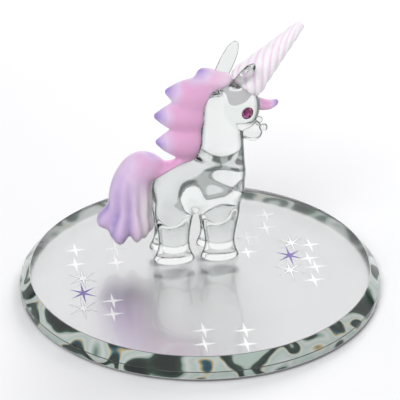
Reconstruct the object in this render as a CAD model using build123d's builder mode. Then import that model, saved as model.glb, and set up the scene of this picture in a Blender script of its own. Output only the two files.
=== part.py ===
from build123d import *
import os
from math import cos, pi, radians, sin

os.makedirs("parts", exist_ok=True)

# A flame-worked glass unicorn glued to a round bevelled mirror.
# Origin: middle of the underside. +Z is up, +X is the way the unicorn faces, +Y is its left side.

# Mirror base
base_diameter = 101.6
glass_thickness = 5.4
bevel_run = 2.8
bevel_drop = 3.3
silver_thickness = 0.1
paint_thickness = 0.15
bumper_count = 4
bumper_diameter = 8.0
bumper_height = 1.0
bumper_inset = 9.0
stand_back = 8.0
glue_thickness = 0.15

# Torso, rising a little from rump to chest
leg_height = 13.8
torso_length = 26.2
torso_depth = 15.4
torso_forward = 0.7
torso_tilt = 6.0
torso_loin = 14.4

# Legs, as length along the body, and the gap left between a left and a right leg
leg_track = 7.6
leg_gap = 0.6
hind_leg_back = 6.7
hind_foot_length = 12.6
hind_ankle_length = 8.8
hind_haunch_length = 10.9
fore_leg_forward = 6.4
fore_foot_length = 11.6
fore_ankle_length = 8.8
fore_shoulder_length = 11.6
ankle_width = 6.2
ankle_height = 7.4

# Neck, ahead of the torso's middle and behind the head's
neck_base_length = 14.6
neck_base_width = 12.4
neck_base_forward = 6.8
neck_top_length = 10.6
neck_top_width = 9.6
neck_top_back = 4.6

# Head, turned a little to its left
head_forward = 12.2
head_up = 45.6
head_crown = 7.4
head_jaw = 7.6
head_width = 11.6
head_tilt = 12.0
head_turn = 6.0
muzzle_length = 6.6
muzzle_width = 5.8
muzzle_reach = 9.4
muzzle_drop = 65.0
nostril_diameter = 2.2
nostril_spread = 4.6
nostril_reach = 3.2
nostril_rise = 30.0

# Ears and horn
ear_length = 12.8
ear_width = 4.2
ear_thickness = 2.5
ear_splay = 31.0
ear_aside = 1.2
horn_length = 24.2
horn_base_diameter = 10.6
horn_tip_diameter = 2.6
horn_rise = 45.0
horn_seat = 4.35
horn_start = 1.4
horn_root_draw = 0.75
horn_bulge = 0.75
horn_lobes = 8
horn_twist = -330.0
horn_groove = 0.3
horn_sections = 12

# Eyes
eye_diameter = 3.2
eye_girdle = 0.3
eye_crown = 0.45
eye_crown_diameter = 2.4
eye_table = 0.35
eye_table_diameter = 0.95
eye_facets = 8
eye_sink = 0.75
eye_forward = 11.0
eye_drop = 0.4
foil_thickness = 0.15

# Mane, forelock, stripe and tail
mane_root_height = 10.4
mane_root_width = 6.6
mane_root_depth = 4.5
mane_curl = 0.8
strand_tip = 1.0
crest_height = 4.6
crest_width = 5.2
crest_end = 4.0
forelock_thickness = 3.6
stripe_height = 4.2
stripe_width = 7.0
stripe_sink = 0.8
stripe_lap = 0.5
tail_depth = 12.2
tail_width = 9.6
tail_strand = 6.4
tail_tip = 2.4
tail_root_sink = 3.4
tail_arch = 1.2
tail_hang = 5.6
tail_knee = 14.0
tail_hem = 8.5

# Each ear: its lean, and how far behind and above the head's middle it is rooted
ear_sets = {"left": (48.0, 5.6, 7.4), "right": (72.0, 1.5, 5.2)}

# Each lock of the mane: its place up the neck, from 0 to 1 and beyond, its tip's reach back and up,
# and how full its root is
mane_locks = {
    "mane_lock_1": (1.40, 3.2, 5.6, 0.72),
    "mane_lock_2": (1.15, 11.1, 3.2, 1.0),
    "mane_lock_3": (0.86, 13.6, 0.7, 1.0),
    "mane_lock_4": (0.38, 12.2, 0.5, 1.0),
}

# Crest and forelock: the points that shape them, forward of and up from the head's middle
crest_line = ((2.0, 4.6), (-1.0, 8.6), (-5.0, 9.0), (-9.5, 8.0))
forelock_line = ((4.4, 0.4), (7.2, -1.6), (9.6, -1.9), (11.4, -0.2))

# Each drawn tip of the tail: how far behind the rump, up from the soles, and aside
tail_tips = (
    (14.4, 9.8, 0.0),
    (10.4, 6.8, -4.6),
    (4.4, 6.8, -4.0),
    (1.8, 7.4, -0.6),
    (11.5, 7.2, 4.4),
    (5.0, 7.0, 4.4),
)

# Levels and places, measured forward and up from between the soles
paint_z = bumper_height
silver_z = paint_z + paint_thickness
glass_z = silver_z + silver_thickness
glass_top = glass_z + glass_thickness
sole_z = glass_top + glue_thickness
base_radius = base_diameter / 2
torso_radius = torso_depth / 2
torso_up = leg_height + torso_radius
back_up = torso_up + torso_radius
rump = torso_forward - torso_length / 2
sides = {"left": 1, "right": -1}


def place(forward, up, aside=0.0):
    """A point of the figure: forward, up from the soles, and aside to its left."""
    return Vector(forward, stand_back + aside, sole_z + up)


head_middle = place(head_forward, head_up)
head_plane = Plane(head_middle, x_dir=(cos(radians(head_turn)), sin(radians(head_turn)), 0), z_dir=(0, 0, 1))


def on_head(forward, up, aside=0.0):
    """A point measured from the head's middle, in the head's own turned frame."""
    return head_plane.from_local_coords(Vector(forward, aside, up))


def head_direction(rise, swing=0.0):
    """A unit vector in the head's frame: degrees above straight ahead, then degrees swung to its left."""
    flat = cos(radians(swing))
    return on_head(flat * cos(radians(rise)), flat * sin(radians(rise)), sin(radians(swing))) - head_middle


def level_ellipse(forward, up, length, width, aside=0.0):
    """A level elliptical section, its length along the body."""
    with BuildSketch(Plane(place(forward, up, aside), x_dir=(1, 0, 0), z_dir=(0, 0, 1))) as outline:
        Ellipse(length / 2, width / 2)
    return outline.sketch


def strand(points, sizes):
    """Elliptical sections across a curve; sizes are (share of the way along, height, width)."""
    with BuildLine() as path:
        Bezier(*points)
    sections = []
    for station, height, width in sizes:
        along = path.line % station
        across = Plane(path.line @ station, x_dir=along.cross(Vector(0, 1, 0)), z_dir=along)
        with BuildSketch(across) as outline:
            Ellipse(height / 2, width / 2)
        sections.append(outline.sketch)
    return sections


def tapered(height, width, swells, tip):
    """Section sizes along a strand: (share, swell) pairs, then a small round tip."""
    return [(share, height * swell, width * swell) for share, swell in swells] + [(1, tip, tip)]


def neck_at(share):
    """The neck's middle, forward and up, and its length and width, this share of the way up it."""
    forward = torso_forward + neck_base_forward
    forward += (head_forward - neck_top_back - forward) * share
    up = back_up + (head_up - back_up) * share
    length = neck_base_length + (neck_top_length - neck_base_length) * share
    width = neck_base_width + (neck_top_width - neck_base_width) * share
    return forward, up, length, width


def lobed_ring(plane, ridge, turn):
    """A section of the horn: round ridges that meet in sharp grooves, turned this many degrees."""
    groove = ridge - horn_groove
    lobe = 2 * pi / horn_lobes
    with BuildSketch(plane) as outline:
        with BuildLine():
            for index in range(horn_lobes):
                start = radians(turn) + index * lobe
                ThreePointArc(
                    (groove * cos(start), groove * sin(start)),
                    (ridge * cos(start + lobe / 2), ridge * sin(start + lobe / 2)),
                    (groove * cos(start + lobe), groove * sin(start + lobe)),
                )
        make_face()
    return outline.sketch


def cut_by(*neighbours):
    """Take the neighbours' room out of the piece, so that they meet face to face."""
    for neighbour in neighbours:
        add(neighbour.part, mode=Mode.SUBTRACT)


def save(piece, name):
    """Label a finished piece and write it out."""
    piece.part.label = name
    export_step(piece.part, f"parts/{name}.step")


# Mirror base
with BuildPart() as mirror_glass:
    with BuildSketch(Plane.XZ):
        with BuildLine():
            Polyline(
                (0, glass_z),
                (base_radius, glass_z),
                (base_radius, glass_top - bevel_drop),
                (base_radius - bevel_run, glass_top),
                (0, glass_top),
                close=True,
            )
        make_face()
    revolve(axis=Axis.Z)
save(mirror_glass, "mirror_glass")

with BuildPart() as silver_coat:
    with BuildSketch(Plane.XY.offset(silver_z)):
        Circle(base_radius)
    extrude(amount=silver_thickness)
save(silver_coat, "silver_coat")

with BuildPart() as backing_paint:
    with BuildSketch(Plane.XY.offset(paint_z)):
        Circle(base_radius)
    extrude(amount=paint_thickness)
save(backing_paint, "backing_paint")

with BuildPart() as bumper_feet:
    with BuildSketch():
        with PolarLocations(base_radius - bumper_inset, bumper_count, start_angle=180 / bumper_count):
            Circle(bumper_diameter / 2)
    extrude(amount=bumper_height)
save(bumper_feet, "bumper_feet")

# Torso: a barrel turned about its long axis
torso_middle = place(torso_forward, torso_up)
torso_axis = Vector(cos(radians(torso_tilt)), 0, sin(radians(torso_tilt)))
with BuildPart() as torso:
    with BuildSketch(Plane(torso_middle, x_dir=torso_axis, z_dir=(0, -1, 0))):
        with BuildLine():
            back = Spline(
                (-torso_length / 2, 0),
                (-torso_length / 4, torso_loin / 2),
                (torso_length / 4, torso_radius),
                (torso_length / 2, 0),
                tangents=((0, 1), (0, -1)),
            )
            Line(back @ 1, back @ 0)
        make_face()
    revolve(axis=Axis(torso_middle, torso_axis))
save(torso, "torso")

# Head: an egg turned about its tilted long axis, with a pocket for each eye
head_axis = head_direction(90 + head_tilt)
eye_floor = head_width / 2 - eye_sink
foil_radius = eye_diameter / 2 + foil_thickness
eye_planes = {}
for side, hand in sides.items():
    outward = head_direction(0, hand * (90 - eye_forward))
    eye_planes[side] = Plane(on_head(0, -eye_drop) + outward * eye_floor, x_dir=(0, 0, 1), z_dir=outward)

with BuildPart() as head:
    with BuildSketch(Plane(head_middle, x_dir=head_axis, z_dir=-head_plane.y_dir)):
        with BuildLine():
            crown = EllipticalCenterArc((0, 0), head_crown, head_width / 2, start_angle=0, arc_size=90)
            jaw = EllipticalCenterArc((0, 0), head_jaw, head_width / 2, start_angle=90, arc_size=90)
            Line(jaw @ 1, crown @ 0)
        make_face()
    revolve(axis=Axis(head_middle, head_axis))
    for eye_plane in eye_planes.values():
        with BuildSketch(eye_plane):
            Circle(foil_radius)
        extrude(amount=head_width / 2, mode=Mode.SUBTRACT)
save(head, "head")

# Eyes: a faceted stone in a foiled cup, cut in steps that each rise and then narrow
eye_cut = (
    (0, eye_diameter),
    (eye_girdle, eye_diameter),
    (eye_crown, eye_crown_diameter),
    (eye_table, eye_table_diameter),
)
for side, eye_plane in eye_planes.items():
    with BuildPart() as eye_foil:
        with BuildSketch(eye_plane):
            Circle(foil_radius)
        extrude(amount=foil_thickness + eye_girdle)
        with BuildSketch(eye_plane.offset(foil_thickness)):
            RegularPolygon(eye_diameter / 2, eye_facets)
        extrude(amount=eye_girdle, mode=Mode.SUBTRACT)
    save(eye_foil, f"eye_foil_{side}")

    with BuildPart() as eye_crystal:
        level = foil_thickness
        for rise, diameter in eye_cut:
            level += rise
            with BuildSketch(eye_plane.offset(level)):
                RegularPolygon(diameter / 2, eye_facets)
        loft(ruled=True)
    save(eye_crystal, f"eye_crystal_{side}")

# Neck: a column that runs from inside the chest to behind the head
with BuildPart() as neck:
    outlines = []
    for share, swell in ((-0.65, 0.55), (-0.3, 0.92), (0, 1), (0.57, 0.97), (1, 1), (1.3, 0.72)):
        forward, up, length, width = neck_at(share)
        outlines.append(level_ellipse(forward, up, length * swell, width * swell))
    loft(outlines)
    cut_by(torso, head)
save(neck, "neck")

# Legs: four columns that swell from the ankle to the foot and to the haunch
leg_width = leg_track - leg_gap
leg_pairs = {
    "hind": (-hind_leg_back, hind_foot_length, hind_ankle_length, hind_haunch_length),
    "front": (fore_leg_forward, fore_foot_length, fore_ankle_length, fore_shoulder_length),
}
legs = {}
for pair, (forward, foot_length, ankle_length, upper_length) in leg_pairs.items():
    for side, hand in sides.items():
        aside = hand * leg_track / 2
        with BuildPart() as leg:
            loft(
                [
                    level_ellipse(forward, 0, foot_length, leg_width, aside),
                    level_ellipse(forward, ankle_height, ankle_length, ankle_width, aside),
                    level_ellipse(forward, leg_height, upper_length, leg_width, aside),
                    level_ellipse(forward, torso_up, ankle_length, ankle_width, aside),
                ]
            )
            cut_by(torso, neck)
        legs[f"leg_{pair}_{side}"] = leg
        save(leg, f"leg_{pair}_{side}")

with BuildPart() as foot_glue:
    with BuildSketch(Plane.XY.offset(glass_top)):
        for forward, foot_length, ankle_length, upper_length in leg_pairs.values():
            for hand in sides.values():
                with Locations((forward, stand_back + hand * leg_track / 2)):
                    Ellipse(foot_length / 2, leg_width / 2)
    extrude(amount=glue_thickness)
save(foot_glue, "foot_glue")

# Muzzle and nostril beads
muzzle_axis = head_direction(-muzzle_drop)
muzzle_middle = head_middle + muzzle_axis * muzzle_reach
with BuildPart() as muzzle:
    with BuildSketch(Plane(muzzle_middle, x_dir=muzzle_axis, z_dir=-head_plane.y_dir)):
        Ellipse(muzzle_length / 2, muzzle_width / 2)
        Rectangle(muzzle_length, muzzle_width, align=(Align.CENTER, Align.MAX), mode=Mode.SUBTRACT)
    revolve(axis=Axis(muzzle_middle, muzzle_axis))
    cut_by(head, neck)
save(muzzle, "muzzle")

for side, hand in sides.items():
    with BuildPart() as nostril:
        bead = muzzle_middle + head_direction(nostril_rise) * nostril_reach
        with Locations(bead + head_plane.y_dir * (hand * nostril_spread / 2)):
            Sphere(nostril_diameter / 2)
        cut_by(muzzle, head)
    save(nostril, f"nostril_{side}")

# Horn: a lobed cone whose grooves wind round it, drawn in where it enters the head
horn_axis = head_direction(horn_rise)
horn_root = on_head(0, horn_seat)
with BuildPart() as horn:
    outlines = []
    for index in range(horn_sections + 1):
        share = index / horn_sections
        swell = (1 - share) ** horn_bulge
        ridge = (horn_tip_diameter + (horn_base_diameter - horn_tip_diameter) * swell) / 2
        if index == 0:
            ridge *= horn_root_draw
        middle = horn_root + horn_axis * (horn_start + horn_length * share)
        across = Plane(middle, x_dir=head_plane.y_dir, z_dir=horn_axis)
        outlines.append(lobed_ring(across, ridge, horn_twist * share))
    loft(outlines)
    cut_by(head)
save(horn, "horn")

# Ears: flattened cones beside the horn
ears = {}
for side, hand in sides.items():
    lean, behind, above = ear_sets[side]
    ear_axis = head_direction(lean, hand * ear_splay)
    ear_root = on_head(-behind, above, hand * ear_aside)
    with BuildPart() as ear:
        for share, swell in ((0, 0.85), (0.35, 1.0), (0.7, 0.9), (0.92, 0.55), (1, 0.25)):
            across = Plane(ear_root + ear_axis * (ear_length * share), x_dir=head_plane.x_dir, z_dir=ear_axis)
            with BuildSketch(across):
                Ellipse(ear_width / 2 * swell, ear_thickness / 2 * swell)
        loft()
        cut_by(head, neck, horn)
    ears[side] = ear
    save(ear, f"ear_{side}")

# Crest and mane: drawn locks that curl up at their tips
with BuildPart() as crest:
    swells = ((0, 0.7), (0.35, 1.0), (0.7, 1.0))
    line = [on_head(*point) for point in crest_line]
    loft(strand(line, tapered(crest_height, crest_width, swells, crest_end)))
    cut_by(head, neck, horn, *ears.values())
save(crest, "crest")

locks = []
for name, (share, reach, lift, fullness) in mane_locks.items():
    forward, up, length, width = neck_at(share)
    seat = forward - length / 2
    line = (
        place(seat + mane_root_depth, up),
        place(seat - reach * 0.1, up + lift * 0.35),
        place(seat - reach * 0.55, up + lift - mane_curl),
        place(seat - reach, up + lift),
    )
    with BuildPart() as lock:
        swells = ((0, 1.0), (0.5, 0.95), (0.75, 0.7), (0.9, 0.36))
        root_height = mane_root_height * fullness
        root_width = mane_root_width * fullness
        loft(strand(line, tapered(root_height, root_width, swells, strand_tip)))
        cut_by(head, neck, horn, *ears.values(), crest, torso, *locks)
    locks.append(lock)
    save(lock, name)

with BuildPart() as forelock:
    swells = ((0, 1.0), (0.5, 0.85), (0.8, 0.65))
    line = [on_head(*point) for point in forelock_line]
    loft(strand(line, tapered(forelock_thickness, forelock_thickness, swells, strand_tip)))
    cut_by(head, horn, muzzle)
save(forelock, "forelock")

# Stripe along the back, from the mane to the tail
with BuildPart() as back_stripe:
    neck_forward, neck_up, neck_length, neck_width = neck_at(0)
    stripe_start = neck_forward - neck_length / 2 + stripe_lap
    line = (
        place(stripe_start, back_up - stripe_sink),
        place(stripe_start - torso_length * 0.2, back_up - stripe_sink),
        place(rump + torso_length * 0.17, back_up - stripe_sink),
        place(rump + stripe_sink, back_up - stripe_height - stripe_sink),
    )
    swells = ((0, 0.75), (0.4, 0.85), (0.75, 1.0))
    loft(strand(line, tapered(stripe_height, stripe_width, swells, stripe_height)))
    cut_by(torso, neck, *locks)
save(back_stripe, "back_stripe")

# Tail: a plume that arches over and hangs, with drawn tips that flare out of its end
plume_line = (
    place(rump + tail_root_sink, back_up - tail_root_sink),
    place(rump - tail_hang * 0.5, back_up + tail_arch),
    place(rump - tail_hang * 1.5, back_up + tail_arch * 0.3),
    place(rump - tail_hang, tail_knee),
    place(rump - tail_hang, tail_hem),
)
with BuildPart() as tail:
    swells = ((0, 0.5), (0.3, 0.86), (0.55, 1.0), (0.8, 0.98))
    loft(strand(plume_line, tapered(tail_depth, tail_width, swells, tail_strand)))
    for behind, up, aside in tail_tips:
        line = (
            place(rump - tail_hang, tail_knee + tail_strand, aside * 0.2),
            place(rump - tail_hang, tail_knee, aside * 0.5),
            place(rump - behind, up + tail_strand, aside * 0.9),
            place(rump - behind, up, aside),
        )
        swells = ((0, 0.55), (0.5, 0.95), (0.85, 0.85))
        loft(strand(line, tapered(tail_strand, tail_strand, swells, tail_tip)))
    cut_by(torso, back_stripe, *legs.values())
save(tail, "tail")
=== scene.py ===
import math

import bmesh
import bpy
import numpy as np
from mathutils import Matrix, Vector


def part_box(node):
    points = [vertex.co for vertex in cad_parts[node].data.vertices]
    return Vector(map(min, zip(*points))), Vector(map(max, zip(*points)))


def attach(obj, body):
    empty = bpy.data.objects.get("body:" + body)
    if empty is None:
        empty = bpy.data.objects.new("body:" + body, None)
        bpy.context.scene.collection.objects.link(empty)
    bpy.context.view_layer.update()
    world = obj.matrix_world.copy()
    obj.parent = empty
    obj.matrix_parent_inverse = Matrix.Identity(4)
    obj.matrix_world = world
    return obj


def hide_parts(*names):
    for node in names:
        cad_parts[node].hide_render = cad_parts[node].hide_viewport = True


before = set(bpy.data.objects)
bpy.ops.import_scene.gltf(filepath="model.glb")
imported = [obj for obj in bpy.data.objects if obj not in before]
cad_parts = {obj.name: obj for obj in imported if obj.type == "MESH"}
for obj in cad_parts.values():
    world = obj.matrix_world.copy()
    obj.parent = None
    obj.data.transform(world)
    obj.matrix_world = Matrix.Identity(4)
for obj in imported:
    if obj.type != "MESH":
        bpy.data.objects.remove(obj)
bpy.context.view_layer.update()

import openvdb as vdb
from bpy.props import (
    FloatProperty,
    FloatVectorProperty,
    IntProperty,
    PointerProperty,
)
from bpy.types import Operator, Panel, PropertyGroup
from mathutils import Matrix, Vector
from mathutils.bvhtree import BVHTree

bl_info = {
    "name": "Glass Unicorn Figurine",
    "version": (1, 0, 0),
    "blender": (4, 5, 0),
    "location": "View3D > Sidebar > Figurine",
    "description": "Dresses a flame-worked glass unicorn on a bevelled mirror",
    "category": "Object",
}

MM = 0.001
GROOVE = "groove"
TINT = "tint"
PALE_AND_HIGHLIGHT = "pale_and_highlight"
REACH = "reach"

CLEAR_LEGS = ("leg_front_left", "leg_front_right", "leg_hind_left", "leg_hind_right")
MANE_LOCKS = ("mane_lock_1", "mane_lock_2", "mane_lock_3", "mane_lock_4")

# Sparkle print: places on the glass, to the right of and beyond the disc's middle, in millimetres
SMALL_STARS = (
    (-33.5, 14.5), (-34.5, 6.5), (-22.0, 13.5), (-23.0, 5.5), (-27.0, -15.0), (-28.0, -22.0),
    (24.0, 25.5), (22.5, 18.0), (16.0, 13.0), (14.5, 5.0), (33.0, 6.0), (31.0, -1.5), (32.0, -6.5), (30.0, -13.5),
    (-5.0, -34.5), (-6.0, -41.5), (6.0, -36.5), (5.0, -43.5),
)
WHITE_BURSTS = ((-35.5, -17.5), (24.5, -7.0), (-33.5, -1.5), (28.0, 8.0))
PURPLE_BURSTS = ((-34.5, -9.5), (26.0, 1.0))


def length(name, description, default):
    """A size in metres that a user may change."""
    return FloatProperty(name=name, description=description, default=default, min=0.0, unit="LENGTH", precision=5)


def colour(name, description, default):
    """A linear colour that a user may change."""
    return FloatVectorProperty(
        name=name, description=description, default=default, size=3, min=0.0, max=1.0, subtype="COLOR"
    )


class ClearGlassSettings(PropertyGroup):
    """Sizes of the clear body and its flame-welded seams"""

    voxel: length("Voxel", "Fineness of the melted surface", 0.25 * MM)
    flow: length("Flow", "How far the torso, neck and haunches run together in the flame", 0.9 * MM)
    foot_flow: length("Foot flow", "How far the edges of the feet are rounded", 0.3 * MM)
    shoulder_flow: length("Shoulder flow", "How far the neck runs into the shoulders", 2.0 * MM)
    shoulder_weld: length("Shoulder weld", "Glass gathered in the corner between neck and shoulders", 3.0 * MM)
    shoulder_span: length("Shoulder span", "How far above and below the withers that reaches", 9.0 * MM)
    hock: length("Hock", "Height over the soles where the legs begin to run together", 7.0 * MM)
    haunch: length("Haunch", "Height over the soles where the legs have run together", 13.0 * MM)
    head_weld: length("Head weld", "How far the head runs into the neck", 1.4 * MM)
    small_weld: length("Small weld", "How far muzzle and ears run into the head", 0.8 * MM)
    bead_weld: length("Bead weld", "How far the nostril beads run into the muzzle", 0.4 * MM)
    sole_sink: length("Sole sink", "How far the soles are wetted into the mirror", 0.03 * MM)
    tint: colour("Tint", "Colour of clear glass seen straight on", (0.985, 0.99, 0.987))
    # Shade and Edge are painted shade: clear glass darkens to them as it is seen more aslant.
    shade: colour("Shade", "Colour of clear glass seen at a slant", (0.58, 0.64, 0.61))
    edge: colour("Edge", "Colour of clear glass seen edge on", (0.02, 0.03, 0.027))


class FrostedSettings(PropertyGroup):
    """Sizes and colours of the frosted mane, stripe and tail"""

    voxel: length("Voxel", "Fineness of the frosted surface", 0.25 * MM)
    flow: length("Flow", "How far the locks run together along the neck", 1.1 * MM)
    tip_flow: length("Tip flow", "How far the tips of the locks are rounded", 0.45 * MM)
    tip_length: length("Tip length", "Length of a lock that stands clear of the rest", 6.0 * MM)
    skirt_flow: length("Skirt flow", "How far the tail's tips run together", 0.9 * MM)
    swell: length("Swell", "Skin of frosted glass added all over", 0.12 * MM)
    fold_count: IntProperty(name="Folds", description="Soft folds round the tail", default=9, min=0)
    fold_depth: length("Fold depth", "Depth of the tail's folds", 0.7 * MM)
    tip_fade: length("Tip fade", "How far lavender runs in from a tip", 8.0 * MM)
    pink: colour("Pink", "Colour near the neck", (0.77, 0.43, 0.66))
    lilac: colour("Lilac", "Colour half way to the tips", (0.74, 0.58, 0.78))
    lavender: colour("Lavender", "Colour towards the tips", (0.58, 0.45, 0.72))
    purple: colour("Purple", "Colour at the very tips", (0.33, 0.24, 0.56))
    # Whitish colour by the horn; by the rump and at the forelock's root it is a painted highlight.
    pale_and_highlight: colour("Pale", "Colour beside the horn and the rump", (0.90, 0.80, 0.88))


class HornSettings(PropertyGroup):
    """Sizes of the spiral horn"""

    root: FloatVectorProperty(
        name="Root", description="Where the horn's axis leaves the head", size=3, subtype="TRANSLATION",
        unit="LENGTH", default=(12.2 * MM, 8.0 * MM, 56.75 * MM),
    )
    start: length("Start", "Distance from the root to the horn's lower end", 1.4 * MM)
    length: length("Length", "Length of the horn along its axis", 24.2 * MM)
    base_radius: length("Base radius", "Radius at the widest ridge", 5.3 * MM)
    groove: length("Groove", "Depth of the spiral grooves", 0.45 * MM)
    grip: length("Grip", "How far the horn's foot is fused into the head", 0.05 * MM)
    lobes: IntProperty(name="Ridges", description="Number of spiral ridges", default=8, min=1)
    twist: FloatProperty(name="Twist", description="Turn of the ridges", default=math.radians(-330), subtype="ANGLE")
    rise: FloatProperty(name="Rise", description="Slope of the horn", default=math.radians(45), subtype="ANGLE")
    turn: FloatProperty(name="Turn", description="Turn of the head to its left", default=math.radians(6), subtype="ANGLE")
    white: colour("White", "Colour of the ridges", (0.95, 0.90, 0.955))
    pink: colour("Pink", "Colour in the grooves", (0.90, 0.70, 0.87))


class MirrorSettings(PropertyGroup):
    """Sizes of the bevelled mirror and its print"""

    segments: IntProperty(name="Segments", description="Sides of the round rim", default=360, min=32)
    bevel_run: length("Bevel run", "Width of the ground bevel", 2.8 * MM)
    bevel_drop: length("Bevel drop", "Depth of the ground bevel", 3.3 * MM)
    arris: length("Arris", "Width of the eased edges", 0.12 * MM)
    silver_grip: length("Silver grip", "How far the glass reaches into its silver coat", 0.05 * MM)
    star_reach: length("Star reach", "Half the long ray of a small star", 4.2 * MM)
    burst_reach: length("Burst reach", "Half the long ray of a large star", 6.2 * MM)
    ink_thickness: length("Ink", "Thickness of the printed ink", 0.03 * MM)
    white_ink: colour("White ink", "Colour of the white print", (0.98, 0.98, 0.98))
    purple_ink: colour("Purple ink", "Colour of the purple print", (0.24, 0.18, 0.48))
    grey_ink: colour("Grey ink", "Colour of the fine outlines", (0.22, 0.22, 0.26))
    outline: length("Outline", "How far the outlines reach past the large stars", 0.5 * MM)


class EyeSettings(PropertyGroup):
    """Colours of the eye stones"""

    # Stone and Deep are lit and shaded copies of the magenta, painted on the facets.
    stone: colour("Stone", "Colour of the stone's lighter facets", (0.80, 0.12, 0.48))
    deep: colour("Deep", "Colour of the stone's darker facets", (0.14, 0.0, 0.06))
    rim: colour("Rim", "Colour of the foil cup's rim", (0.05, 0.01, 0.03))
    foil: colour("Foil", "Colour of the foil cup's back", (0.88, 0.85, 0.88))


class StageSettings(PropertyGroup):
    """Camera, lamps and floor"""

    azimuth: FloatProperty(name="Azimuth", description="Camera's way round", default=math.radians(-10), subtype="ANGLE")
    elevation: FloatProperty(
        name="Elevation", description="Camera's height over the disc", default=math.radians(30.2), subtype="ANGLE"
    )
    distance: length("Distance", "Camera to the middle of the disc", 0.70)
    focal_pixels: FloatProperty(name="Focal length", description="In pixels of the picture", default=2480.5)
    picture: FloatProperty(name="Picture", description="Width of the picture in pixels", default=400.0)
    drop: FloatProperty(name="Drop", description="Pixels from picture's middle down to disc's", default=65.2)
    floor_size: length("Floor", "Width of the floor", 6.0)


GROUPS = {
    "figurine_clear": ClearGlassSettings,
    "figurine_frosted": FrostedSettings,
    "figurine_horn": HornSettings,
    "figurine_mirror": MirrorSettings,
    "figurine_eyes": EyeSettings,
    "figurine_stage": StageSettings,
}


# Node helpers

def new_material(name):
    """An empty node material with its output and its node tree."""
    material = bpy.data.materials.new(name)
    material.use_nodes = True
    tree = material.node_tree
    tree.nodes.clear()
    output = tree.nodes.new("ShaderNodeOutputMaterial")
    return material, tree, output


def node(tree, kind, inputs=(), **settings):
    """A node with its settings, and its inputs by name: a value, or a socket to link from."""
    made = tree.nodes.new(kind)
    for key, value in settings.items():
        setattr(made, key, value)
    for key, value in dict(inputs).items():
        socket = made.inputs[key]
        if isinstance(value, bpy.types.NodeSocket):
            tree.links.new(value, socket)
        else:
            socket.default_value = value
    return made


def math_node(tree, operation, *values):
    """A maths node's result; each value is a number or a socket."""
    return node(tree, "ShaderNodeMath", dict(enumerate(values)), operation=operation).outputs[0]


def rgba(value):
    """A colour with full alpha."""
    return (*value, 1.0)


def ramp(tree, factor, stops):
    """A colour ramp's result over (place, colour) stops."""
    made = node(tree, "ShaderNodeValToRGB", {"Fac": factor})
    elements = made.color_ramp.elements
    while len(elements) < len(stops):
        elements.new(0.5)
    for element, (place, value) in zip(elements, stops):
        element.position = place
        element.color = rgba(value)
    return made.outputs["Color"]


def mix_colour(tree, factor, one, other):
    """A blend of two colours."""
    made = tree.nodes.new("ShaderNodeMix")
    made.data_type = "RGBA"
    for key, value in ((0, factor), (6, one), (7, other)):
        if isinstance(value, bpy.types.NodeSocket):
            tree.links.new(value, made.inputs[key])
        else:
            made.inputs[key].default_value = value
    return made.outputs[2]


def object_noise(tree, scale, detail=2.0, distortion=0.0):
    """Noise fixed to the piece, in features per metre."""
    place = node(tree, "ShaderNodeTexCoord").outputs["Object"]
    inputs = {"Vector": place, "Scale": scale, "Detail": detail, "Distortion": distortion}
    return node(tree, "ShaderNodeTexNoise", inputs).outputs["Fac"]


def bump(tree, height, distance, strength):
    """A normal raised by a height."""
    inputs = {"Height": height, "Distance": distance, "Strength": strength}
    return node(tree, "ShaderNodeBump", inputs).outputs["Normal"]


# Materials

def clear_glass():
    """Fire-polished clear glass, faintly green where it is thick, with painted shade darkening its edges where it is
    seen aslant.
    """
    settings = bpy.context.scene.figurine_clear
    material, tree, output = new_material("clear_glass")
    ripple = bump(tree, object_noise(tree, 160.0), 0.05 * MM, 0.25)
    # Painted shade: the base colour darkens towards the edges as the glass is seen more aslant, standing in for dark
    # surroundings seen through it.
    slant = node(tree, "ShaderNodeLayerWeight", {"Blend": 0.5}).outputs["Facing"]
    rim = ramp(tree, slant, ((0.33, settings.tint), (0.47, settings.shade), (0.59, settings.edge)))
    # The painted edge shade stays off the inside and off faces that look down.
    geometry = node(tree, "ShaderNodeNewGeometry")
    rise = node(tree, "ShaderNodeSeparateXYZ", {0: geometry.outputs["Normal"]}).outputs["Z"]
    under = node(tree, "ShaderNodeMapRange", {"Value": rise, "From Min": -0.3, "From Max": -0.6}).outputs[0]
    no_painted_edge_shade = math_node(tree, "MAXIMUM", geometry.outputs["Backfacing"], under)
    inputs = {
        "Base Color": mix_colour(tree, no_painted_edge_shade, rim, rgba(settings.tint)),
        "Roughness": 0.07,
        "IOR": 1.38,
        "Transmission Weight": 1.0,
        "Normal": ripple,
    }
    shader = node(tree, "ShaderNodeBsdfPrincipled", inputs)
    tree.links.new(shader.outputs[0], output.inputs["Surface"])
    depth = node(tree, "ShaderNodeVolumeAbsorption", {"Color": (0.90, 0.93, 0.915, 1.0), "Density": 34.0})
    tree.links.new(depth.outputs[0], output.inputs["Volume"])
    return material


def horn_glass():
    """Milky glass that is pinker in the spiral grooves."""
    settings = bpy.context.scene.figurine_horn
    material, tree, output = new_material("horn_glass")
    groove = node(tree, "ShaderNodeAttribute", attribute_name=GROOVE).outputs["Fac"]
    streak = math_node(tree, "MULTIPLY_ADD", object_noise(tree, 500.0, 2.0), 0.5, math_node(tree, "SUBTRACT", groove, 0.25))
    tone = ramp(tree, streak, ((0.3, settings.white), (0.95, settings.pink)))
    inputs = {
        "Base Color": tone,
        "Roughness": 0.12,
        "IOR": 1.45,
        "Transmission Weight": 0.0,
        "Subsurface Weight": 0.4,
        "Subsurface Radius": (1.0, 0.9, 1.0),
        "Subsurface Scale": 4.0 * MM,
        "Coat Weight": 0.3,
    }
    shader = node(tree, "ShaderNodeBsdfPrincipled", inputs)
    tree.links.new(shader.outputs[0], output.inputs["Surface"])
    return material


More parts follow.
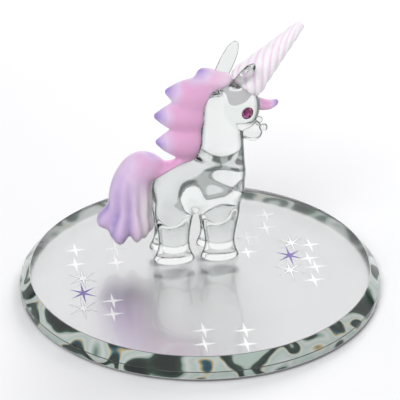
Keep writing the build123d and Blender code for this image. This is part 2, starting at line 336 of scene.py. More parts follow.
def frosted_glass():
    """Acid-frosted glass: pink by the neck, lavender at the tips, whitish by the horn; the whitish mark also carries
    painted highlights, and the lavender painted shade in the tail's folds.
    """
    settings = bpy.context.scene.figurine_frosted
    material, tree, output = new_material("frosted_glass")
    tint = node(tree, "ShaderNodeAttribute", attribute_name=TINT).outputs["Fac"]
    pale_and_highlight = node(tree, "ShaderNodeAttribute", attribute_name=PALE_AND_HIGHLIGHT).outputs["Fac"]
    cloud = object_noise(tree, 220.0, 3.0)
    drift = math_node(tree, "MULTIPLY_ADD", cloud, 0.4, -0.2)
    tint = node(tree, "ShaderNodeClamp", {"Value": math_node(tree, "ADD", tint, drift)}).outputs[0]
    tones = ((0.1, settings.pink), (0.45, settings.lilac), (0.75, settings.lavender), (1.0, settings.purple))
    hue = ramp(tree, tint, tones)
    hue = mix_colour(tree, pale_and_highlight, hue, rgba(settings.pale_and_highlight))
    grain = bump(tree, object_noise(tree, 6000.0, 1.0), 0.02 * MM, 0.2)
    inputs = {
        "Base Color": hue,
        "Roughness": 0.42,
        "IOR": 1.45,
        "Subsurface Weight": 0.55,
        "Subsurface Radius": (1.0, 0.75, 1.0),
        "Subsurface Scale": 2.2 * MM,
        "Sheen Weight": 0.15,
        "Sheen Roughness": 0.5,
        "Normal": grain,
    }
    shader = node(tree, "ShaderNodeBsdfPrincipled", inputs)
    tree.links.new(shader.outputs[0], output.inputs["Surface"])
    return material


def plate_glass():
    """Clear float glass with a green cast."""
    material, tree, output = new_material("plate_glass")
    inputs = {
        "Base Color": (0.985, 0.995, 0.99, 1.0),
        "Roughness": 0.0,
        "IOR": 1.52,
        "Transmission Weight": 1.0,
    }
    shader = node(tree, "ShaderNodeBsdfPrincipled", inputs)
    tree.links.new(shader.outputs[0], output.inputs["Surface"])
    return material


def bevel_glass():
    """The polished bevel: the green cast of a thick glass edge, with dark, white and gold reflections painted on by
    noise.
    """
    material, tree, output = new_material("bevel_glass")
    # Painted reflections: noise lays dark, green, white and gold patches over the bevel for what a thick edge reflects.
    place = node(tree, "ShaderNodeTexCoord").outputs["Object"]
    spread = node(tree, "ShaderNodeMapping", {"Vector": place, "Scale": (1.0, 1.0, 1.2)}).outputs[0]
    noise = {"Vector": spread, "Scale": 80.0, "Detail": 1.0, "Roughness": 0.4, "Distortion": 0.4}
    flow = node(tree, "ShaderNodeTexNoise", noise).outputs["Fac"]
    lights = ramp(
        tree,
        flow,
        (
            (0.38, (0.004, 0.012, 0.008)),
            (0.425, (0.03, 0.075, 0.05)),
            (0.44, (0.45, 0.63, 0.53)),
            (0.47, (0.96, 0.99, 0.97)),
            (0.52, (0.68, 0.84, 0.76)),
            (0.545, (0.90, 0.97, 0.93)),
            (0.555, (0.78, 0.60, 0.22)),
            (0.565, (0.02, 0.17, 0.24)),
            (0.58, (0.004, 0.012, 0.008)),
            (0.64, (0.03, 0.075, 0.05)),
            (0.66, (0.68, 0.84, 0.76)),
        ),
    )
    inputs = {"Base Color": lights, "Roughness": 0.03, "IOR": 1.52, "Transmission Weight": 0.5}
    shader = node(tree, "ShaderNodeBsdfPrincipled", inputs)
    tree.links.new(shader.outputs[0], output.inputs["Surface"])
    return material


def silvering():
    """A satin silver coat seen through the glass."""
    material, tree, output = new_material("silvering")
    cloud = object_noise(tree, 60.0, 2.0)
    tone = ramp(tree, cloud, ((0.3, (0.90, 0.895, 0.91)), (0.7, (0.93, 0.925, 0.94))))
    inputs = {"Base Color": tone, "Metallic": 1.0, "Roughness": 0.24}
    shader = node(tree, "ShaderNodeBsdfPrincipled", inputs)
    tree.links.new(shader.outputs[0], output.inputs["Surface"])
    return material


def plain(name, base, other, scale, roughness, **more):
    """A surface of two close tones, mottled at a scale in features per metre."""
    material, tree, output = new_material(name)
    mottle = object_noise(tree, scale, 3.0)
    inputs = {
        "Base Color": ramp(tree, mottle, ((0.35, base), (0.65, other))),
        "Roughness": roughness,
        "Normal": bump(tree, mottle, 0.02 * MM, 0.15),
    }
    inputs.update({key.replace("_", " ").title(): value for key, value in more.items()})
    shader = node(tree, "ShaderNodeBsdfPrincipled", inputs)
    tree.links.new(shader.outputs[0], output.inputs["Surface"])
    return material


def eye_stone():
    """A foiled magenta stone, with painted reflections: Voronoi cells make its facets light and dark."""
    settings = bpy.context.scene.figurine_eyes
    material, tree, output = new_material("eye_stone")
    place = node(tree, "ShaderNodeTexCoord").outputs["Object"]
    # Painted reflections: each Voronoi cell takes a lighter or darker magenta, for facets that catch or miss the light.
    facets = node(tree, "ShaderNodeTexVoronoi", {"Vector": place, "Scale": 1000.0})
    tone = node(tree, "ShaderNodeSeparateColor", {"Color": facets.outputs["Color"]}).outputs[0]
    inputs = {
        "Base Color": ramp(tree, tone, ((0.35, settings.deep), (0.95, settings.stone))),
        "Metallic": 0.5,
        "Roughness": 0.08,
        "Coat Weight": 1.0,
    }
    shader = node(tree, "ShaderNodeBsdfPrincipled", inputs)
    tree.links.new(shader.outputs[0], output.inputs["Surface"])
    return material


def eye_foil():
    """A foil cup with a bright back, and a dark rim where it faces away from the head."""
    settings = bpy.context.scene.figurine_eyes
    material, tree, output = new_material("eye_foil")
    low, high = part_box("head")
    place = node(tree, "ShaderNodeTexCoord").outputs["Object"]
    aside = node(tree, "ShaderNodeSeparateXYZ", {0: place}).outputs["Y"]
    hand = math_node(tree, "SIGN", math_node(tree, "SUBTRACT", aside, (low.y + high.y) / 2))
    normal = node(tree, "ShaderNodeSeparateXYZ", {0: node(tree, "ShaderNodeNewGeometry").outputs["True Normal"]})
    outward = math_node(tree, "MULTIPLY", normal.outputs["Y"], hand)
    inputs = {
        "Base Color": ramp(tree, outward, ((0.2, settings.foil), (0.5, settings.rim))),
        "Metallic": 0.7,
        "Roughness": 0.3,
    }
    shader = node(tree, "ShaderNodeBsdfPrincipled", inputs)
    tree.links.new(shader.outputs[0], output.inputs["Surface"])
    return material


def dress(node_name, material):
    """Give a CAD node's object its finish."""
    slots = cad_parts[node_name].data.materials
    slots.clear()
    slots.append(material)


# Melted meshes

def block_for(nodes, voxel, margin):
    """First voxel and shape of a grid that holds these nodes."""
    corners = np.array([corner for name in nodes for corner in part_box(name)])
    first = np.floor((corners.min(0) - margin) / voxel).astype(int)
    last = np.ceil((corners.max(0) + margin) / voxel).astype(int)
    return first, last - first + 1


def triangles_of(name):
    """A CAD node's points and triangles."""
    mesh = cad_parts[name].data
    points = np.empty(len(mesh.vertices) * 3, np.float32)
    mesh.vertices.foreach_get("co", points)
    mesh.calc_loop_triangles()
    corners = np.empty(len(mesh.loop_triangles) * 3, np.int32)
    mesh.loop_triangles.foreach_get("vertices", corners)
    return points.reshape(-1, 3), corners.reshape(-1, 3).astype(np.uint32)


def distances(name, voxel, block, band):
    """Signed distances to a CAD node, over a block of voxels."""
    points, corners = triangles_of(name)
    grid = vdb.FloatGrid.createLevelSetFromPolygons(
        points, triangles=corners, transform=vdb.createLinearTransform(voxelSize=voxel), halfWidth=band / voxel
    )
    first, shape = block
    field = np.zeros(shape, np.float32)
    grid.copyToArray(field, ijk=tuple(int(i) for i in first))
    return field


def melt(one, other, reach):
    """Two distance fields run together over this reach."""
    near = np.maximum(reach - np.abs(one - other), 0) / reach
    return np.minimum(one, other) - near * near * reach / 4


def ease(field, reach, voxel):
    """A distance field whose creases have run together over this reach."""
    spectrum = np.fft.rfftn(field)
    for axis, count in enumerate(field.shape):
        steps = np.fft.rfftfreq(count) if axis == 2 else np.fft.fftfreq(count)
        fade = np.exp(-2 * (math.pi * reach / voxel * steps) ** 2)
        spectrum *= fade.reshape([-1 if other == axis else 1 for other in range(3)])
    return np.fft.irfftn(spectrum, field.shape)


def heights(voxel, block):
    """The height of each layer of a block of voxels."""
    first, shape = block
    return (first[2] + np.arange(shape[2])) * voxel


def skin(name, field, voxel, block, swell=0.0):
    """A mesh object of the surface where a distance field reaches this swell."""
    grid = vdb.FloatGrid(background=float(field.max()))
    grid.copyFromArray(np.ascontiguousarray(field, np.float32), ijk=tuple(int(i) for i in block[0]))
    grid.transform = vdb.createLinearTransform(voxelSize=voxel)
    points, triangles, quads = grid.convertToPolygons(swell, 0.0)
    mesh = bpy.data.meshes.new(name)
    mesh.from_pydata(points.tolist(), [], triangles.tolist() + quads.tolist())
    made = bmesh.new()
    made.from_mesh(mesh)
    bmesh.ops.recalc_face_normals(made, faces=made.faces)
    made.to_mesh(mesh)
    made.free()
    mesh.shade_smooth()
    return add_piece(name, mesh)


def add_piece(name, mesh):
    """An object for a finished mesh, at the origin."""
    piece = bpy.data.objects.new(name, mesh)
    bpy.context.scene.collection.objects.link(piece)
    return piece


def seat(piece, slot, *replaced):
    """Carry a finished piece on the figure, in place of these CAD nodes."""
    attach(piece, "root")
    if replaced:
        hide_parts(*replaced)


def smooth_step(values, start, end):
    """0 before start, 1 after end, eased between."""
    share = np.clip((values - start) / (end - start), 0, 1)
    return share * share * (3 - 2 * share)


def mesh_points(mesh):
    """A mesh's points as an array."""
    points = np.empty(len(mesh.vertices) * 3, np.float32)
    mesh.vertices.foreach_get("co", points)
    return points.reshape(-1, 3)


def store(mesh, name, values):
    """Keep a value for each point of a mesh."""
    attribute = mesh.attributes.new(name, "FLOAT", "POINT")
    attribute.data.foreach_set("value", values.astype(np.float32))


# Geometry node helpers

def new_tree(name, inputs):
    """A geometry node tree with named inputs, its input node and its output node."""
    tree = bpy.data.node_groups.new(name, "GeometryNodeTree")
    tree.interface.new_socket("Geometry", in_out="INPUT", socket_type="NodeSocketGeometry")
    for key, kind in inputs:
        tree.interface.new_socket(key, in_out="INPUT", socket_type=kind)
    tree.interface.new_socket("Geometry", in_out="OUTPUT", socket_type="NodeSocketGeometry")
    return tree, tree.nodes.new("NodeGroupInput"), tree.nodes.new("NodeGroupOutput")


def grow(name, tree, values, start):
    """The plain mesh that a tree makes from a starting mesh and its input values."""
    carrier = add_piece(name, start)
    modifier = carrier.modifiers.new(name, "NODES")
    modifier.node_group = tree
    for item in tree.interface.items_tree:
        if item.item_type == "SOCKET" and item.in_out == "INPUT" and item.name in values:
            modifier[item.identifier] = values[item.name]
    ready = carrier.evaluated_get(bpy.context.evaluated_depsgraph_get())
    mesh = bpy.data.meshes.new_from_object(ready)
    carrier.modifiers.remove(modifier)
    carrier.data = mesh
    return carrier


def finish_tree(tree, geometry, material, output):
    """End a tree: instances made real, and one material set."""
    real = node(tree, "GeometryNodeRealizeInstances", {"Geometry": geometry}).outputs[0]
    painted = node(tree, "GeometryNodeSetMaterial", {"Geometry": real, "Material": material}).outputs[0]
    tree.links.new(painted, output.inputs[0])


def horn_tree():
    """A tapering tube of spiral ridges, standing on +Z."""
    tree, given, output = new_tree(
        "Spiral Horn",
        (
            ("Length", "NodeSocketFloat"),
            ("Base Radius", "NodeSocketFloat"),
            ("Groove", "NodeSocketFloat"),
            ("Ridges", "NodeSocketFloat"),
            ("Twist", "NodeSocketFloat"),
            ("Sides", "NodeSocketInt"),
            ("Rings", "NodeSocketInt"),
            ("Material", "NodeSocketMaterial"),
        ),
    )
    ports = given.outputs
    sheet = node(tree, "GeometryNodeMeshGrid", {"Vertices X": ports["Sides"], "Vertices Y": ports["Rings"]})
    spot = node(tree, "ShaderNodeSeparateXYZ", {0: node(tree, "GeometryNodeInputPosition").outputs[0]})
    angle = math_node(tree, "MULTIPLY", spot.outputs["X"], math.tau)
    share = math_node(tree, "ADD", spot.outputs["Y"], 0.5)
    profile = tree.nodes.new("ShaderNodeFloatCurve")
    tree.links.new(share, profile.inputs["Value"])
    curve = profile.mapping.curves[0]
    shape = ((0, 0), (0.008, 0.72), (0.08, 0.97), (0.25, 0.84), (0.5, 0.64), (0.75, 0.44), (0.93, 0.29), (0.985, 0.2), (1, 0))
    while len(curve.points) < len(shape):
        curve.points.new(0.5, 0.5)
    for point, place in zip(curve.points, shape):
        point.location = place
    profile.mapping.update()
    turned = math_node(tree, "MULTIPLY", ports["Twist"], share)
    phase = math_node(tree, "MULTIPLY", math_node(tree, "SUBTRACT", angle, turned), ports["Ridges"])
    ridge = math_node(tree, "ABSOLUTE", math_node(tree, "SINE", math_node(tree, "MULTIPLY", phase, 0.5)))
    groove = math_node(tree, "SUBTRACT", 1.0, ridge)
    cut = math_node(tree, "MULTIPLY", math_node(tree, "MULTIPLY", groove, ports["Groove"]), profile.outputs[0])
    radius = math_node(tree, "SUBTRACT", math_node(tree, "MULTIPLY", ports["Base Radius"], profile.outputs[0]), cut)
    place = node(
        tree,
        "ShaderNodeCombineXYZ",
        {
            "X": math_node(tree, "MULTIPLY", radius, math_node(tree, "COSINE", angle)),
            "Y": math_node(tree, "MULTIPLY", radius, math_node(tree, "SINE", angle)),
            "Z": math_node(tree, "MULTIPLY", share, ports["Length"]),
        },
    )
    marked = node(
        tree, "GeometryNodeStoreNamedAttribute", {"Geometry": sheet.outputs["Mesh"], "Name": GROOVE, "Value": groove}
    )
    shaped = node(tree, "GeometryNodeSetPosition", {"Geometry": marked.outputs[0], "Position": place.outputs[0]})
    closed = node(tree, "GeometryNodeMergeByDistance", {"Geometry": shaped.outputs[0], "Distance": 0.001 * MM})
    smooth = node(tree, "GeometryNodeSetShadeSmooth", {"Geometry": closed.outputs[0]})
    finish_tree(tree, smooth.outputs[0], ports["Material"], output)
    return tree


def star_tree():
    """Flat stars of printed ink on each point of a mesh, sized by its reach."""
    tree, given, output = new_tree(
        "Printed Stars",
        (
            ("Rays", "NodeSocketInt"),
            ("Waist", "NodeSocketFloat"),
            ("Narrowing", "NodeSocketFloat"),
            ("Flattening", "NodeSocketFloat"),
            ("Ink", "NodeSocketFloat"),
            ("Material", "NodeSocketMaterial"),
        ),
    )
    ports = given.outputs
    star = node(tree, "GeometryNodeCurveStar", {"Points": ports["Rays"], "Outer Radius": 1.0})
    tree.links.new(ports["Waist"], star.inputs["Inner Radius"])
    turned = node(tree, "GeometryNodeTransform", {"Geometry": star.outputs["Curve"]})
    turned.inputs["Rotation"].default_value = (0, 0, math.pi / 2)
    spot = node(tree, "ShaderNodeSeparateXYZ", {0: node(tree, "GeometryNodeInputPosition").outputs[0]})
    aside = math_node(tree, "ABSOLUTE", spot.outputs["X"])
    lower = node(tree, "ShaderNodeMapRange", {"Value": aside, "From Max": 0.3, "To Min": 1.0, "To Max": ports["Flattening"]})
    ray = node(
        tree,
        "ShaderNodeCombineXYZ",
        {
            "X": math_node(tree, "MULTIPLY", spot.outputs["X"], ports["Narrowing"]),
            "Y": math_node(tree, "MULTIPLY", spot.outputs["Y"], lower.outputs[0]),
        },
    )
    slim = node(tree, "GeometryNodeSetPosition", {"Geometry": turned.outputs[0], "Position": ray.outputs[0]})
    flat = node(tree, "GeometryNodeFillCurve", {"Curve": slim.outputs[0]})
    reach = node(tree, "GeometryNodeInputNamedAttribute", {"Name": REACH}, data_type="FLOAT")
    spread = node(
        tree,
        "GeometryNodeInstanceOnPoints",
        {"Points": ports["Geometry"], "Instance": flat.outputs[0], "Scale": reach.outputs[0]},
    )
    real = node(tree, "GeometryNodeRealizeInstances", {"Geometry": spread.outputs[0]})
    raised = node(
        tree, "GeometryNodeExtrudeMesh", {"Mesh": real.outputs[0], "Offset Scale": ports["Ink"], "Individual": False}
    )
    under = node(tree, "GeometryNodeFlipFaces", {"Mesh": real.outputs[0]})
    both = tree.nodes.new("GeometryNodeJoinGeometry")
    tree.links.new(raised.outputs[0], both.inputs[0])
    tree.links.new(under.outputs[0], both.inputs[0])
    closed = node(tree, "GeometryNodeMergeByDistance", {"Geometry": both.outputs[0], "Distance": 0.001 * MM})
    finish_tree(tree, closed.outputs[0], ports["Material"], output)
    return tree


# Pieces

class FIGURINE_OT_clear_body(Operator):
    """Melt the clear gathers into one fire-polished body"""

    bl_idname = "figurine.clear_body"
    bl_label = "Clear body"

    def execute(self, context):
        settings = context.scene.figurine_clear
        voxel = settings.voxel
        nodes = ("torso", "neck", "head", "muzzle", "nostril_left", "nostril_right", "ear_left", "ear_right")
        nodes += CLEAR_LEGS + ("foot_glue",)
        band = 3 * settings.shoulder_flow
        block = block_for(nodes, voxel, band)

        def field_of(name):
            return distances(name, voxel, block, band)

        torso, neck = field_of("torso"), field_of("neck")
        trunk = np.minimum(torso, neck)
        shoulder = melt(torso, neck, settings.shoulder_weld)
        for name in CLEAR_LEGS + ("foot_glue",):
            leg = field_of(name)
            trunk = np.minimum(trunk, leg)
            shoulder = np.minimum(shoulder, leg)
        feet = ease(trunk, settings.foot_flow, voxel)
        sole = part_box("foot_glue")[0].z
        levels = heights(voxel, block)
        upper = smooth_step(levels, sole + settings.hock, sole + settings.haunch)
        body = feet + (ease(trunk, settings.flow, voxel) - feet) * upper
        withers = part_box("torso")[1].z
        by_shoulder = 1 - smooth_step(np.abs(levels - withers), 0.3 * settings.shoulder_span, settings.shoulder_span)
        body += (ease(shoulder, settings.shoulder_flow, voxel) - body) * by_shoulder
        body = melt(body, field_of("head"), settings.head_weld)
        for name in ("muzzle", "ear_left", "ear_right"):
            body = melt(body, field_of(name), settings.small_weld)
        for name in ("nostril_left", "nostril_right"):
            body = melt(body, field_of(name), settings.bead_weld)
        piece = skin("clear_body", ease(body, voxel, voxel), voxel, block, settings.sole_sink)
        piece.data.materials.append(clear_glass())
        seat(piece, "clear_glass", *nodes)
        return {"FINISHED"}


class FIGURINE_OT_frosted_hair(Operator):
    """Melt the crest, locks, stripe and tail together, and draw out the forelock"""

    bl_idname = "figurine.frosted_hair"
    bl_label = "Mane and tail"

    def execute(self, context):
        settings = context.scene.figurine_frosted
        voxel = settings.voxel
        frost = frosted_glass()
        nodes = ("crest", *MANE_LOCKS, "back_stripe", "tail")
        band = 4 * settings.skirt_flow
        block = block_for(nodes, voxel, band)
        hair = distances("crest", voxel, block, band)
        for name in nodes[1:]:
            hair = np.minimum(hair, distances(name, voxel, block, band))
        mane = ease(hair, settings.flow, voxel)
        reaches = (block[0][0] + np.arange(block[1][0])) * voxel
        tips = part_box("mane_lock_3")[0].x
        drawn = 1 - smooth_step(reaches, tips + settings.tip_length / 2, tips + 1.5 * settings.tip_length)
        mane += (ease(hair, settings.tip_flow, voxel) - mane) * drawn[:, None, None]
        skirt = ease(hair, settings.skirt_flow, voxel) + self.folds(settings, voxel, block)
        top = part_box("back_stripe")[1].z
        upper = smooth_step(heights(voxel, block), top, top + 6 * MM)
        piece = skin("mane_and_tail", skirt + (mane - skirt) * upper, voxel, block, settings.swell)
        piece.data.materials.append(frost)
        self.shade(piece.data, settings)
        seat(piece, "frosted_glass", *nodes)

        block = block_for(("forelock",), voxel, band)
        curl = ease(distances("forelock", voxel, block, band), voxel, voxel)
        lock = skin("forelock_curl", curl, voxel, block)
        lock.data.materials.append(frost)
        low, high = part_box("forelock")
        points = mesh_points(lock.data)
        store(lock.data, TINT, smooth_step(points[:, 0], low.x + 0.4 * (high.x - low.x), high.x))
        # Painted highlight: the forelock is paler towards its root, where it lies in shade.
        store(lock.data, PALE_AND_HIGHLIGHT, 0.5 * smooth_step(-points[:, 0], -low.x - 0.3 * (high.x - low.x), -low.x))
        seat(lock, "frosted_glass", "forelock")
        return {"FINISHED"}

    def folds(self, settings, voxel, block):
        """Depths to take from the tail, in folds that deepen towards its hem."""
        first, shape = block
        across, aside, up = ((first[axis] + np.arange(shape[axis])) * voxel for axis in range(3))
        fold = self.fold_at(settings, across[:, None, None], aside[None, :, None], up[None, None, :])
        return settings.fold_depth * fold

    def fold_at(self, settings, across, aside, up):
        """How deep in a fold of the tail these places are, from 0 to 1."""
        low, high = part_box("tail")
        middle, size = (low + high) / 2, high - low
        angle = np.arctan2(aside - middle.y, across - middle.x)
        wave = (1 - np.cos(settings.fold_count * angle)) / 2
        fall = 1 - smooth_step(up, low.z + 0.3 * size.z, low.z + 0.85 * size.z)
        behind = smooth_step(-across, -high.x, -high.x + 0.3 * size.x)
        return wave * fall * behind

    def shade(self, mesh, settings):
        """Mark how lavender and how whitish each point is, with painted shade in the tail's folds and a painted
        highlight by the rump.
        """
        points = mesh_points(mesh)
        neck_low, neck_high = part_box("neck")
        middle = np.array((neck_low + neck_high) / 2)
        tint = np.zeros(len(points))
        for name in MANE_LOCKS:
            lock = triangles_of(name)[0]
            tip = lock[np.argmax(np.linalg.norm(lock - middle, axis=1))]
            away = np.linalg.norm(points - tip, axis=1)
            tint = np.maximum(tint, 1 - smooth_step(away, 0.0, settings.tip_fade))
        tail_low, tail_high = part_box("tail")
        back_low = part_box("torso")[0].x
        behind = smooth_step(-points[:, 0], -back_low - 1 * MM, -tail_low.x - 4 * MM)
        in_tail = smooth_step(-points[:, 0], -back_low - 3 * MM, -back_low + 1 * MM)
        in_tail *= points[:, 2] < tail_high.z + 2 * MM
        tint = np.where(in_tail > 0, np.maximum(tint, in_tail * (0.25 + 0.4 * behind)), tint)
        # Painted shade: the tail's folds turn a deeper lavender where they turn in.
        tint += 0.25 * self.fold_at(settings, *points.T) * in_tail
        horn_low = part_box("horn")[0].x
        pale_and_highlight = 0.8 * smooth_step(points[:, 0], horn_low - 10 * MM, horn_low + 1 * MM)
        # Painted highlight: the tail is paler low down by the rump, where it would otherwise lie in its own shade.
        painted_rump_highlight = smooth_step(points[:, 0], back_low - 7 * MM, back_low - 2 * MM)
        low_down = 1 - smooth_step(points[:, 2], tail_high.z - 14 * MM, tail_high.z - 6 * MM)
        pale_and_highlight = np.maximum(pale_and_highlight, painted_rump_highlight * low_down)
        store(mesh, TINT, tint)
        store(mesh, PALE_AND_HIGHLIGHT, pale_and_highlight)


class FIGURINE_OT_horn(Operator):
    """Draw the spiral horn"""

    bl_idname = "figurine.horn"
    bl_label = "Horn"

    def execute(self, context):
        settings = context.scene.figurine_horn
        values = {
            "Length": settings.length,
            "Base Radius": settings.base_radius,
            "Groove": settings.groove,
            "Ridges": float(settings.lobes),
            "Twist": settings.twist,
            "Sides": 161,
            "Rings": 181,
            "Material": horn_glass(),
        }
        piece = grow("spiral_horn", horn_tree(), values, bpy.data.meshes.new("horn_start"))
        ahead = Vector((math.cos(settings.turn), math.sin(settings.turn), 0))
        aside = Vector((-math.sin(settings.turn), math.cos(settings.turn), 0))
        axis = ahead * math.cos(settings.rise) + Vector((0, 0, math.sin(settings.rise)))
        turn = Matrix((aside, axis.cross(aside), axis)).transposed().to_4x4()
        piece.data.transform(Matrix.Translation(Vector(settings.root) + axis * settings.start) @ turn)
        self.trim(piece.data, axis, settings.grip)
        seat(piece, "horn_glass", "horn")
        return {"FINISHED"}

    def trim(self, mesh, axis, grip):
        """Draw what lies inside the head out to its surface, so that the horn is fused on and not sunk in."""
        points, corners = triangles_of("head")
        head = BVHTree.FromPolygons(points.tolist(), corners.tolist())
        for vertex in mesh.vertices:
            surface, normal, index, gap = head.ray_cast(vertex.co, axis)
            if surface and normal.dot(axis) > 0:
                vertex.co = surface - axis * grip


class FIGURINE_OT_mirror(Operator):
    """Turn the bevelled glass and finish the coats and feet beneath it"""

    bl_idname = "figurine.mirror"
    bl_label = "Mirror base"

    def execute(self, context):
        settings = context.scene.figurine_mirror
        low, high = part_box("mirror_glass")
        radius, ease_edge = high.x, settings.arris
        shoulder = high.z - settings.bevel_drop
        slope = Vector((settings.bevel_run, settings.bevel_drop)).normalized() * ease_edge
        profile = (
            (radius - ease_edge, low.z - settings.silver_grip),
            (radius, low.z),
            (radius, shoulder - ease_edge),
            (radius - slope.x, shoulder + slope.y),
            (radius - settings.bevel_run + slope.x, high.z - slope.y),
            (radius - settings.bevel_run - ease_edge, high.z),
        )
        ground_steps = (1, 3)
        made = bmesh.new()
        rings = []
        for reach, level in profile:
            ring = []
            for index in range(settings.segments):
                angle = math.tau * index / settings.segments
                ring.append(made.verts.new((reach * math.cos(angle), reach * math.sin(angle), level)))
            rings.append(ring)
        for step, (lower, upper) in enumerate(zip(rings, rings[1:])):
            for index in range(settings.segments):
                after = (index + 1) % settings.segments
                face = made.faces.new((lower[index], lower[after], upper[after], upper[index]))
                face.smooth = True
                face.material_index = int(step in ground_steps)
        made.faces.new(list(reversed(rings[0])))
        made.faces.new(rings[-1])
        mesh = bpy.data.meshes.new("bevelled_glass")
        made.to_mesh(mesh)
        made.free()
        mesh.set_sharp_from_angle(angle=math.radians(20))
        piece = add_piece("bevelled_glass", mesh)
        mesh.materials.append(plate_glass())
        mesh.materials.append(bevel_glass())
        seat(piece, "plate_glass", "mirror_glass")
        dress("silver_coat", silvering())
        dress("backing_paint", plain("backing_paint", (0.15, 0.155, 0.165), (0.19, 0.195, 0.205), 300.0, 0.6))
        dress("bumper_feet", plain("bumper", (0.70, 0.72, 0.73), (0.76, 0.78, 0.79), 900.0, 0.35))
        return {"FINISHED"}


class FIGURINE_OT_print(Operator):
    """Print the sparkle stars on the glass"""

    bl_idname = "figurine.print"
    bl_label = "Star print"

    def execute(self, context):
        settings = context.scene.figurine_mirror
        thin_ink = {"subsurface_weight": 0.3, "subsurface_radius": (1.0, 1.0, 1.0), "subsurface_scale": settings.ink_thickness}
        white = plain("white_ink", settings.white_ink, settings.white_ink, 2000.0, 0.5, **thin_ink)
        purple_dark = tuple(0.9 * value for value in settings.purple_ink)
        purple = plain("purple_ink", settings.purple_ink, purple_dark, 900.0, 0.45, **thin_ink)
        tree = star_tree()
        grey = plain("grey_ink", settings.grey_ink, settings.grey_ink, 2000.0, 0.5)
        outline = settings.burst_reach + settings.outline
        thick, thin = settings.ink_thickness, settings.ink_thickness / 2
        prints = (
            ("white_sparkles", SMALL_STARS, settings.star_reach, 4, 0.2, 0.74, 1.0, thick, white),
            ("burst_outlines", WHITE_BURSTS, outline, 6, 0.2, 0.67, 0.8, thin, grey),
            ("white_bursts", WHITE_BURSTS, settings.burst_reach, 6, 0.17, 0.65, 0.8, thick, white),
            ("purple_bursts", PURPLE_BURSTS, settings.burst_reach, 6, 0.17, 0.65, 0.8, thick, purple),
        )
        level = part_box("mirror_glass")[1].z
        for name, places, reach, rays, waist, narrowing, flattening, thickness, ink in prints:
            start = bpy.data.meshes.new(name + "_places")
            start.from_pydata([(right * MM, beyond * MM, level) for right, beyond in places], [], [])
            store(start, REACH, np.full(len(places), reach))
            values = {
                "Rays": rays,
                "Waist": waist,
                "Narrowing": narrowing,
                "Flattening": flattening,
                "Ink": thickness,
                "Material": ink,
            }
            print_piece = grow(name, tree, values, start)
            print_piece.visible_glossy = False
            print_piece.visible_transmission = False
            seat(print_piece, None)
        return {"FINISHED"}


class FIGURINE_OT_eyes(Operator):
    """Finish the faceted eye stones and their foil cups"""

    bl_idname = "figurine.eyes"
    bl_label = "Eyes"

    def execute(self, context):
        settings = context.scene.figurine_eyes
        stone = eye_stone()
        foil = eye_foil()
        for side in ("left", "right"):
            dress("eye_crystal_" + side, stone)
            dress("eye_foil_" + side, foil)
        return {"FINISHED"}


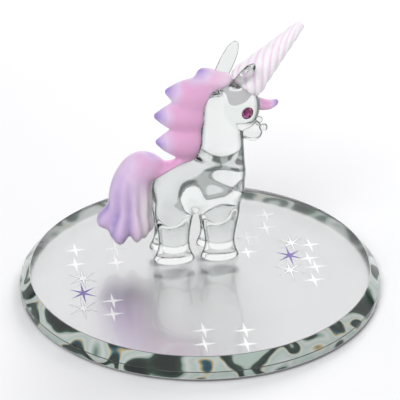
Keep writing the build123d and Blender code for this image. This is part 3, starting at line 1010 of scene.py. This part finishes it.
class FIGURINE_OT_stage(Operator):
    """Set the floor, lamps, surroundings and camera"""

    bl_idname = "figurine.stage"
    bl_label = "Stage"

    def execute(self, context):
        settings = context.scene.figurine_stage
        context.scene.view_settings.view_transform = "Standard"
        self.floor(settings)
        self.lamps()
        self.surroundings(context.scene)
        self.camera(context.scene, settings)
        return {"FINISHED"}

    def floor(self, settings):
        """A white table that keeps the shadow."""
        half = settings.floor_size / 2
        mesh = bpy.data.meshes.new("floor")
        mesh.from_pydata([(-half, -half, 0), (half, -half, 0), (half, half, 0), (-half, half, 0)], [], [(0, 1, 2, 3)])
        table = add_piece("floor", mesh)
        material, tree, output = new_material("floor_white")
        lit = node(tree, "ShaderNodeBsdfDiffuse", {"Color": (0.86, 0.86, 0.87, 1.0)})
        glow = node(tree, "ShaderNodeEmission", {"Color": (1.0, 1.0, 1.0, 1.0), "Strength": 0.05})
        both = node(tree, "ShaderNodeAddShader", {0: lit.outputs[0], 1: glow.outputs[0]})
        far = node(tree, "ShaderNodeEmission", {"Color": (0.85, 0.87, 0.86, 1.0), "Strength": 1.0})
        place = node(tree, "ShaderNodeTexCoord").outputs["Object"]
        reach = node(tree, "ShaderNodeVectorMath", {0: place}, operation="LENGTH").outputs["Value"]
        pool = node(tree, "ShaderNodeMapRange", {"Value": reach, "From Min": 0.055, "From Max": 0.12}).outputs[0]
        path = node(tree, "ShaderNodeLightPath")
        bent = math_node(tree, "MAXIMUM", path.outputs["Is Glossy Ray"], path.outputs["Is Transmission Ray"])
        dim = math_node(tree, "MULTIPLY", pool, bent)
        shown = node(tree, "ShaderNodeMixShader", {0: dim, 1: both.outputs[0], 2: far.outputs[0]})
        tree.links.new(shown.outputs[0], output.inputs["Surface"])
        mesh.materials.append(material)

    def lamps(self):
        """A soft lamp behind and one in front, which the mirror and the glass don't show."""
        for name, place, size, power in (
            ("key_lamp", (0.27, 0.46, 0.33), 0.30, 2.5),
            ("fill_lamp", (-0.22, -0.42, 0.50), 0.40, 2.8),
        ):
            lamp = bpy.data.lights.new(name, "AREA")
            lamp.size = size
            lamp.energy = power
            holder = bpy.data.objects.new(name, lamp)
            holder.location = place
            holder.rotation_mode = "QUATERNION"
            holder.rotation_quaternion = (-Vector(place)).to_track_quat("-Z", "Y")
            holder.visible_glossy = False
            holder.visible_transmission = False
            bpy.context.scene.collection.objects.link(holder)

    def surroundings(self, scene):
        """White to the eye; glass and mirrors also meet the dark gaps between the studio's soft boxes."""
        world = bpy.data.worlds.new("studio")
        scene.world = world
        world.use_nodes = True
        tree = world.node_tree
        tree.nodes.clear()
        output = tree.nodes.new("ShaderNodeOutputWorld")
        way = node(tree, "ShaderNodeSeparateXYZ", {0: node(tree, "ShaderNodeTexCoord").outputs["Generated"]})
        heading = math_node(tree, "ARCTAN2", way.outputs["Y"], way.outputs["X"])
        wave = math_node(tree, "COSINE", math_node(tree, "MULTIPLY_ADD", heading, 4.0, 0.6))
        lift = math_node(tree, "MULTIPLY_ADD", wave, 0.08, way.outputs["Z"])
        seen = ramp(
            tree,
            lift,
            (
                (0.0, (0.66, 0.69, 0.68)),
                (0.04, (0.05, 0.06, 0.055)),
                (0.09, (0.66, 0.69, 0.68)),
                (0.15, (1.0, 1.0, 1.0)),
                (0.75, (1.0, 1.0, 1.0)),
                (1.0, (0.76, 0.77, 0.77)),
            ),
        )
        path = node(tree, "ShaderNodeLightPath")
        bent = math_node(tree, "MAXIMUM", path.outputs["Is Glossy Ray"], path.outputs["Is Transmission Ray"])
        light = mix_colour(tree, bent, (0.37, 0.37, 0.375, 1.0), seen)
        shown = mix_colour(tree, path.outputs["Is Camera Ray"], light, (1.0, 1.0, 1.0, 1.0))
        sky = node(tree, "ShaderNodeBackground", {"Color": shown, "Strength": 1.0})
        tree.links.new(sky.outputs[0], output.inputs["Surface"])

    def camera(self, scene, settings):
        """The photograph's viewpoint."""

        def backward(elevation):
            level = math.cos(elevation)
            return Vector(
                (math.sin(settings.azimuth) * level, -math.cos(settings.azimuth) * level, math.sin(elevation))
            )

        lens = bpy.data.cameras.new("camera")
        lens.sensor_width = 36.0
        lens.lens = lens.sensor_width * settings.focal_pixels / settings.picture
        lens.clip_start = 0.01
        holder = bpy.data.objects.new("camera", lens)
        disc_top = Vector((0, 0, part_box("mirror_glass")[1].z))
        holder.location = disc_top + backward(settings.elevation) * settings.distance
        tilt = settings.elevation - math.atan(settings.drop / settings.focal_pixels)
        holder.rotation_mode = "QUATERNION"
        holder.rotation_quaternion = (-backward(tilt)).to_track_quat("-Z", "Y")
        scene.collection.objects.link(holder)
        scene.camera = holder


OPERATORS = (
    FIGURINE_OT_mirror,
    FIGURINE_OT_print,
    FIGURINE_OT_clear_body,
    FIGURINE_OT_frosted_hair,
    FIGURINE_OT_horn,
    FIGURINE_OT_eyes,
    FIGURINE_OT_stage,
)


class FIGURINE_PT_panel(Panel):
    """The figurine's pieces and sizes"""

    bl_label = "Glass figurine"
    bl_idname = "FIGURINE_PT_panel"
    bl_space_type = "VIEW_3D"
    bl_region_type = "UI"
    bl_category = "Figurine"

    def draw(self, context):
        for operator in OPERATORS:
            self.layout.operator(operator.bl_idname)
        for name, group in GROUPS.items():
            box = self.layout.box()
            box.label(text=group.__doc__)
            for key in group.__annotations__:
                box.prop(getattr(context.scene, name), key)


def register():
    for name, group in GROUPS.items():
        bpy.utils.register_class(group)
        setattr(bpy.types.Scene, name, PointerProperty(type=group))
    for operator in OPERATORS:
        bpy.utils.register_class(operator)
    bpy.utils.register_class(FIGURINE_PT_panel)


def unregister():
    bpy.utils.unregister_class(FIGURINE_PT_panel)
    for operator in reversed(OPERATORS):
        bpy.utils.unregister_class(operator)
    for name, group in reversed(GROUPS.items()):
        delattr(bpy.types.Scene, name)
        bpy.utils.unregister_class(group)


def main():
    register()
    bpy.ops.figurine.mirror()
    bpy.ops.figurine.print()
    bpy.ops.figurine.clear_body()
    bpy.ops.figurine.frosted_hair()
    bpy.ops.figurine.horn()
    bpy.ops.figurine.eyes()
    bpy.ops.figurine.stage()


if __name__ == "__main__":
    main()
